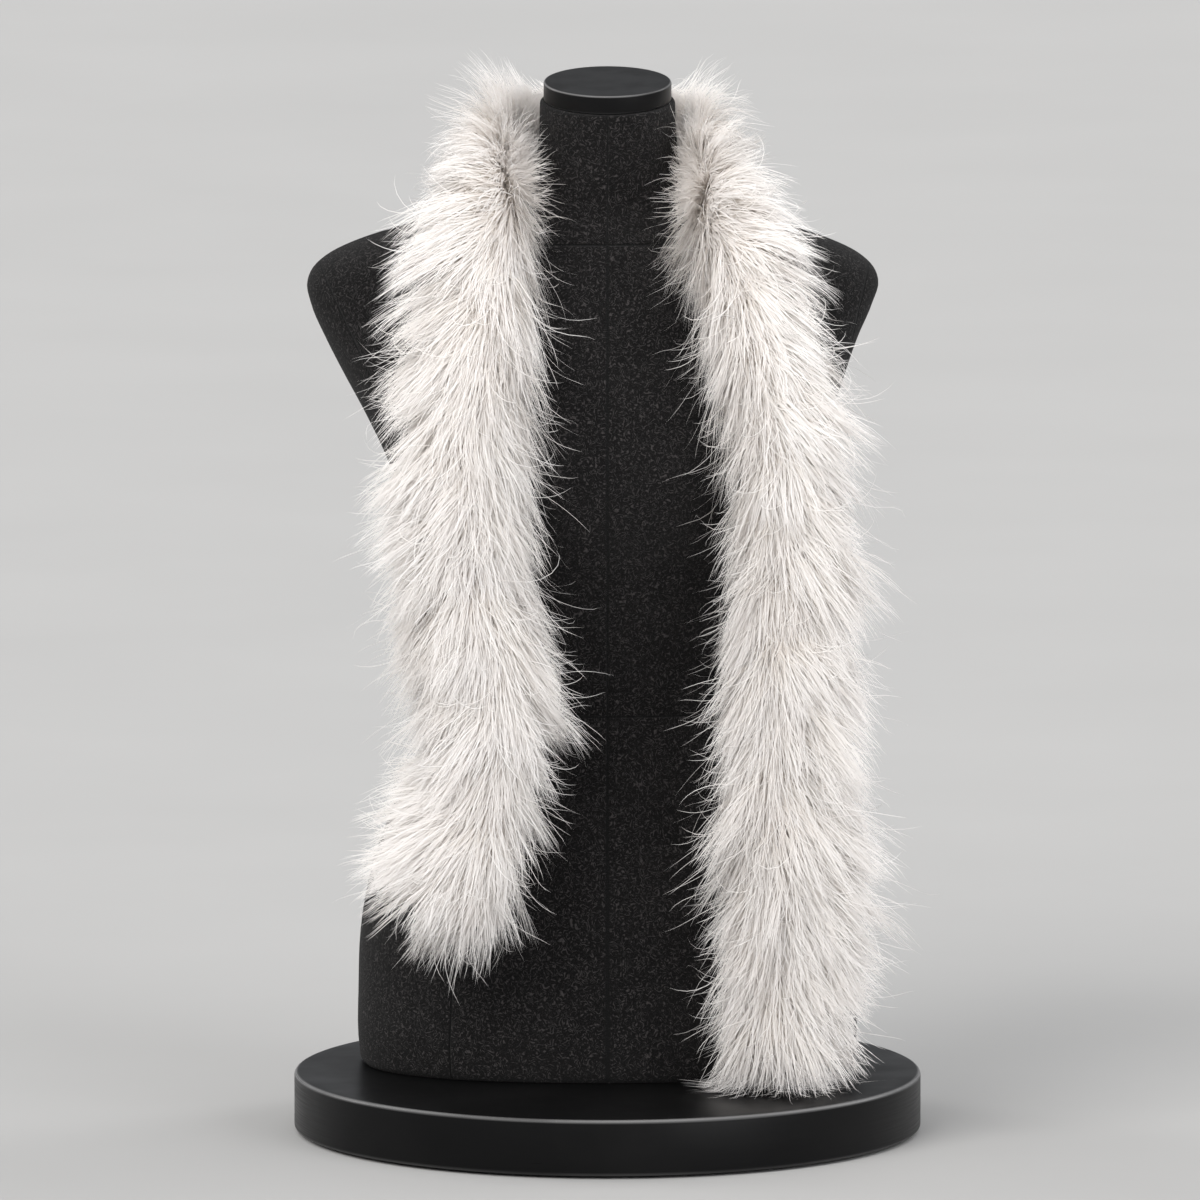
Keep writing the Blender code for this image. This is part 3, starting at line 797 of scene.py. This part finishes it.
def make_pile(name, number, start, end, share, surface, finish):
    """The pile of one part of the scarf: guides of locks, wisps, then strands of each kind."""
    rng = np.random.default_rng(SEED + number)
    low, high = start - PILE_MARGIN, end + PILE_MARGIN
    grown = TUBE_ROUND * (high - low)
    locks = pick_roots(rng, low, high, int(grown / LOCK_AREA))
    n = len(locks[0])
    lock_length = STRAND_LENGTH * rng.uniform(0.80, 1.28, n)
    lock_lean = np.radians(rng.normal(0, 9, n))
    lock_lift = np.radians(rng.normal(4, 9, n))
    still = np.zeros(n)
    wave = rng.uniform(0, 0.003, n)
    lock_curves = grow(rng, locks, lock_length, lock_lean, lock_lift, wave, still)
    lock_tone = rng.normal(0, 0.07, n)
    wisps = pick_roots(rng, low, high, int(grown / WISP_AREA))
    n = len(wisps[0])
    home = nearest(wisps[2], locks[2])
    wisp_length = lock_length[home] * rng.uniform(0.82, 1.12, n)
    wisp_length = wisp_length * (1 - SHORTER_ON_NECK * on_the_neck(wisps[0]))
    wisp_lean = lock_lean[home] + np.radians(rng.normal(0, 8, n))
    wisp_lift = lock_lift[home] + np.radians(rng.normal(0, 8, n))
    wave, curl = rng.uniform(0, 0.0022, n), np.full(n, np.radians(14))
    wisp_curves = grow(rng, wisps, wisp_length, wisp_lean, wisp_lift, wave, curl)
    wisp_curves = gather(wisp_curves, lock_curves, home, rng.uniform(0.25, 0.60, n))
    wisp_tone = lock_tone[home] + rng.normal(0, 0.07, n)
    parts = []
    for kind in KINDS:
        roots = pick_roots(rng, start, end, int(kind.number * share))
        n = len(roots[0])
        mine = nearest(roots[2], wisps[2])
        length = wisp_length[mine] * rng.uniform(*kind.length, n)
        lean = wisp_lean[mine] + np.radians(rng.normal(0, kind.lean, n))
        lift = wisp_lift[mine] + np.radians(rng.normal(0, kind.lift, n))
        wave, curl = rng.uniform(0.0003, 0.0018, n), np.full(n, np.radians(kind.curl))
        curves = grow(rng, roots, length, lean, lift, wave, curl)
        curves = gather(curves, wisp_curves, mine, rng.uniform(*kind.gathered, n))
        steps = list(kind.steps)
        curves = clear_of_form(curves[:, steps], surface, rng)
        curves = clear_of_cap(clear_of_base(curves, GROWTH_TIMES[steps], rng))
        behind = np.clip(roots[3][:, 1] * 1.5, 0, 1)
        width = kind.width * rng.uniform(0.75, 1.2, n) * (1 + WIDER_BEHIND * behind)
        tone = np.clip(0.6 + wisp_tone[mine] + rng.normal(0, 0.10, n), 0.0, 1.0)
        roll = rng.normal(0, np.radians(14), n)
        parts.append(make_ribbons(curves, kind, roots[3], roll, width, tone))
    return join_ribbons(name, parts, finish)


# Materials


class Nodes:
    """Short ways to make and join a material's nodes."""

    def __init__(self, name):
        self.material = bpy.data.materials.new(name)
        self.material.use_nodes = True
        self.tree = self.material.node_tree
        self.shader = self.tree.nodes["Principled BSDF"]

    def make(self, kind, **values):
        """A node of a kind, its own properties set."""
        node = self.tree.nodes.new(kind)
        for key, value in values.items():
            setattr(node, key, value)
        return node

    def join(self, source, target):
        """Links an output to an input."""
        self.tree.links.new(source, target)

    def set(self, node, **values):
        """Sets inputs by name, with _ for a space."""
        for key, value in values.items():
            node.inputs[key.replace("_", " ")].default_value = value

    def math(self, operation, first, second=0.0):
        """One sum on numbers or outputs."""
        node = self.make("ShaderNodeMath", operation=operation)
        for slot, value in ((0, first), (1, second)):
            if isinstance(value, (int, float)):
                node.inputs[slot].default_value = value
            else:
                self.join(value, node.inputs[slot])
        return node.outputs[0]

    def range(self, value, low, high, to_low=0.0, to_high=1.0):
        """Maps low to high onto another range, smoothly and no further."""
        node = self.make("ShaderNodeMapRange", interpolation_type="SMOOTHSTEP")
        self.join(value, node.inputs["Value"])
        self.set(node, From_Min=low, From_Max=high, To_Min=to_low, To_Max=to_high)
        return node.outputs["Result"]

    def noise(self, place, scale, detail=2.0, distortion=0.0, stretch=None):
        """Noise about 0.5, its place stretched first if that is asked for."""
        if stretch is not None:
            mapping = self.make("ShaderNodeMapping")
            mapping.inputs["Scale"].default_value = stretch
            self.join(place, mapping.inputs["Vector"])
            place = mapping.outputs[0]
        node = self.make("ShaderNodeTexNoise")
        self.join(place, node.inputs["Vector"])
        self.set(node, Scale=scale, Detail=detail, Distortion=distortion)
        return node.outputs["Fac"]

    def mix(self, share, first, second, blend="MIX"):
        """Mixes two colours."""
        node = self.make("ShaderNodeMix", data_type="RGBA", blend_type=blend)
        self.put(share, node.inputs[0])
        self.put(first, node.inputs[6])
        self.put(second, node.inputs[7])
        return node.outputs[2]

    def put(self, value, socket):
        """Sets an input to a number or a colour, or links an output to it."""
        if isinstance(value, (int, float)):
            socket.default_value = value
        elif isinstance(value, tuple):
            socket.default_value = (*value, 1.0)
        else:
            self.join(value, socket)

    def bump(self, height, distance, strength):
        """Raises the surface's shading by a height."""
        node = self.make("ShaderNodeBump")
        self.join(height, node.inputs["Height"])
        self.set(node, Strength=strength, Distance=distance)
        self.join(node.outputs[0], self.shader.inputs["Normal"])

    def place(self):
        """The piece's own coordinates, in metres."""
        return self.make("ShaderNodeTexCoord").outputs["Object"]

    def attribute(self, name):
        """A number stored on the mesh's points."""
        return self.make("ShaderNodeAttribute", attribute_name=name).outputs["Fac"]

    def colour(self, value):
        """Sets the surface's colour."""
        self.put(value, self.shader.inputs["Base Color"])


def fur_material():
    """Strands: roots painted cream as shade deep in the pile, fading to ivory tips, each strand a
    little lighter or darker.
    """
    m = Nodes("ivory_pile")
    uv = m.make("ShaderNodeUVMap", uv_map="OFBake")
    split = m.make("ShaderNodeSeparateXYZ")
    m.join(uv.outputs[0], split.inputs[0])
    # Painted shade: darker cream at the roots, fading out towards the tips
    ramp = m.make("ShaderNodeValToRGB")
    stops = ramp.color_ramp.elements
    stops[0].position = 0.0
    stops[0].color = (*IVORY_ROOT_PAINTED_SHADE, 1)
    stops[1].position = 1.0
    stops[1].color = (*IVORY_TIP, 1)
    for position, colour in IVORY_SHADE_FADING:
        stop = stops.new(position)
        stop.color = (*colour, 1)
    m.join(split.outputs[1], ramp.inputs[0])
    tone = m.mix(split.outputs[0], (0.955, 0.93, 0.90), (1.0, 1.0, 1.0))
    colour = m.mix(1.0, ramp.outputs[0], tone, "MULTIPLY")
    m.colour(colour)
    m.set(m.shader, Roughness=0.50, Specular_IOR_Level=0.30)
    m.set(m.shader, Sheen_Weight=0.10, Sheen_Roughness=0.5)
    through = m.make("ShaderNodeBsdfTranslucent")
    m.join(colour, through.inputs["Color"])
    both = m.make("ShaderNodeMixShader")
    both.inputs[0].default_value = LIGHT_THROUGH
    m.join(m.shader.outputs[0], both.inputs[1])
    m.join(through.outputs[0], both.inputs[2])
    m.join(both.outputs[0], m.tree.nodes["Material Output"].inputs["Surface"])
    return m.material


def backing_material():
    """The cloth under the pile: cream as painted shade between the strands, streaked by the dense
    short undercoat.
    """
    m = Nodes("cream_undercoat_painted_shade")
    place = m.place()
    streak = m.noise(place, 60.0, 5.0, 0.8, (9.0, 9.0, 1.6))
    fine = m.noise(place, 420.0, 3.0, 0.3)
    # Painted shade: cream between the strands, streaked by the undercoat
    m.colour(m.mix(m.range(streak, 0.36, 0.64), UNDERCOAT_SHADE_DARK, UNDERCOAT_SHADE_LIGHT))
    m.bump(m.math("ADD", streak, m.math("MULTIPLY", fine, 0.5)), 0.004, 0.9)
    m.set(m.shader, Roughness=0.85, Sheen_Weight=0.3)
    return m.material


def form_material():
    """Charcoal cloth with short wiggling light fibres and dark sewn seams."""
    m = Nodes("charcoal_boucle_cloth")
    place = m.place()
    waves = m.math("MULTIPLY", m.noise(place, 150.0, 1.5, 0.4), 9.0)
    thread = m.range(m.math("PINGPONG", waves, 0.5), 0.24, 0.46)
    broken = m.range(m.noise(place, 430.0, 2.0), 0.42, 0.58)
    fibre = m.math("MULTIPLY", thread, broken)
    second = m.noise(place, 520.0, 1.0, 0.7)
    thin = m.range(m.math("ABSOLUTE", m.math("SUBTRACT", second, 0.47)), 0.0, 0.022, 1.0, 0.0)
    fibre = m.math("MAXIMUM", fibre, m.math("MULTIPLY", thin, 0.35))
    patches = m.noise(place, 26.0, 3.0)
    ground = m.mix(m.range(patches, 0.3, 0.7), CLOTH_DARK, CLOTH_MIDDLE)
    cloth = m.mix(fibre, ground, CLOTH_FIBRE)
    seam = m.range(m.attribute("seam_depth"), 0.15, 0.75)
    seam = m.math("MAXIMUM", seam, arm_seams(m, place))
    m.colour(m.mix(seam, cloth, (0.004, 0.004, 0.004)))
    height = m.math("SUBTRACT", m.math("ADD", fibre, m.math("MULTIPLY", patches, 0.3)), seam)
    m.bump(height, 0.0007, 0.9)
    m.set(m.shader, Roughness=0.92, Specular_IOR_Level=0.12)
    m.set(m.shader, Sheen_Weight=0.04, Sheen_Roughness=0.6)
    return m.material


def arm_seams(m, place):
    """Dark lines where slanted planes cut the shoulders, on the front and the back."""
    split = m.make("ShaderNodeSeparateXYZ")
    m.join(place, split.inputs[0])
    total = None
    for side, up, distance in ARM_PLANES:
        value = m.math("MULTIPLY", split.outputs[0], side)
        value = m.math("ADD", value, m.math("MULTIPLY", split.outputs[2], up))
        value = m.math("ABSOLUTE", m.math("SUBTRACT", value, distance))
        line = m.range(value, ARM_LINE * 0.4, ARM_LINE, 1.0, 0.0)
        total = line if total is None else m.math("MAXIMUM", total, line)
    lowest = BASE_HEIGHT + ARM_LOWEST
    high = m.range(split.outputs[2], lowest, lowest + 0.015)
    return m.math("MULTIPLY", total, high)


def satin_material(name, brushed):
    """Satin black paint, brushed round its side, with a painted highlight along the rim."""
    m = Nodes(name)
    place = m.place()
    streak = m.noise(place, 40.0, 4.0, 0.0, (0.35, 0.35, 30.0) if brushed else (1.0, 1.0, 1.0))
    grain = m.noise(place, 900.0, 2.0)
    dust = m.noise(place, 9.0, 5.0, 0.4)
    paint = m.mix(m.range(dust, 0.35, 0.75), SATIN_DARK, SATIN_LIGHT)
    # Painted highlight along the rims, broken up by the dust noise, with lower roughness there
    painted_highlight = m.math("MULTIPLY", m.attribute("painted_rim_highlight"), m.range(dust, 0.25, 0.60, 0.45, 1.0))
    m.colour(m.mix(painted_highlight, paint, SATIN_PAINTED_HIGHLIGHT))
    rough = m.range(streak, 0.3, 0.7, 0.27, 0.36)
    rough = m.math("ADD", rough, m.range(dust, 0.3, 0.7, 0.0, 0.07))
    rough = m.math("SUBTRACT", rough, m.math("MULTIPLY", painted_highlight, 0.06))
    m.put(rough, m.shader.inputs["Roughness"])
    m.bump(m.math("ADD", streak, m.math("MULTIPLY", grain, 0.4)), 0.0001, 0.35)
    m.set(m.shader, Specular_IOR_Level=0.11)
    return m.material


# Stage


def soft_light(name, place, energy, width, colour):
    """Even light from the way of a place, as soft as a panel that looks width degrees wide."""
    light = bpy.data.lights.new(name, "SUN")
    light.energy = energy
    light.angle = np.radians(width)
    light.color = colour
    lamp = link(bpy.data.objects.new(name, light))
    lamp.location = place
    lamp.rotation_euler = (-Vector(place)).to_track_quat("-Z", "Y").to_euler()


def make_stage():
    """A wide pale floor, open on every side, so the object can be looked at from all round."""
    m = Nodes("pale_stage")
    grain = m.noise(m.place(), 3.0, 3.0)
    m.colour(m.mix(grain, (0.385, 0.381, 0.376), (0.415, 0.411, 0.406)))
    m.set(m.shader, Roughness=0.8, Specular_IOR_Level=0.0)
    ends = (-FLOOR_REACH, FLOOR_REACH)
    points = [(x, y, 0.0) for y in ends for x in ends]
    mesh = bpy.data.meshes.new("floor")
    mesh.from_pydata(points, [], [(0, 1, 3, 2)])
    mesh.materials.append(m.material)
    floor = link(bpy.data.objects.new("floor", mesh))


def make_lights():
    """The soft lights and a pale sky."""
    for row in LIGHTS:
        soft_light(*row)
    world = bpy.data.worlds.new("studio")
    world.use_nodes = True
    back = world.node_tree.nodes["Background"]
    back.inputs["Color"].default_value = (*SKY, 1)
    back.inputs["Strength"].default_value = SKY_STRENGTH
    bpy.context.scene.world = world


def make_camera():
    """A long lens at the photo's angle."""
    data = bpy.data.cameras.new("camera")
    data.sensor_width = 36.0
    data.lens = data.sensor_width * CAMERA_DISTANCE / CAMERA_WIDTH
    data.clip_end = 100.0
    camera = link(bpy.data.objects.new("camera", data))
    back = Vector((0, -np.cos(CAMERA_RISE), np.sin(CAMERA_RISE)))
    camera.location = CAMERA_AIM + back * CAMERA_DISTANCE
    camera.rotation_euler = (np.pi / 2 - CAMERA_RISE, 0, 0)
    bpy.context.scene.camera = camera


def tree_of(made):
    """A search tree of a piece's faces."""
    points = [v.co for v in made.data.vertices]
    return BVHTree.FromPolygons(points, [tuple(p.vertices) for p in made.data.polygons])


def main():
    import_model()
    bpy.context.scene.view_settings.view_transform = "Standard"
    make_camera()
    make_stage()
    make_lights()
    base = make_base(satin_material("satin_black_brushed", True))
    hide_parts("base_disc")
    cap = make_cap(satin_material("satin_black_cap", False))
    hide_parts("neck_cap")
    cover = make_form_cover(form_material())
    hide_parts("form_body")
    surface = tree_of(cover)
    cloth = backing_material()
    pile = fur_material()
    # node, start, end, how it is held, its pile pieces: name, start, end, share of strands
    stretches = (
        ("scarf_left_fall", 0.0, LEFT_SEAM, "hung",
         (("pile_left_low", 0.0, LEFT_MIDDLE, 0.87),
          ("pile_left_high", LEFT_MIDDLE, LEFT_SEAM, 0.87))),
        ("scarf_neck", LEFT_SEAM, RIGHT_SEAM, "draped",
         (("pile_neck_left", LEFT_SEAM, NAPE, 0.64),
          ("pile_neck_right", NAPE, RIGHT_SEAM, 0.64))),
        ("scarf_right_fall", RIGHT_SEAM, TOTAL, "hung",
         (("pile_right_high", RIGHT_SEAM, RIGHT_MIDDLE, 0.99),
          ("pile_right_low", RIGHT_MIDDLE, TOTAL, 0.99))),
    )
    number = 0
    for node, start, end, held, parts in stretches:
        backing = make_backing(node.replace("scarf", "backing"), start, end, cloth)
        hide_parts(node)
        for name, low, high, share in parts:
            made = make_pile(name, number, low, high, share, surface, pile)
            number += 1


main()
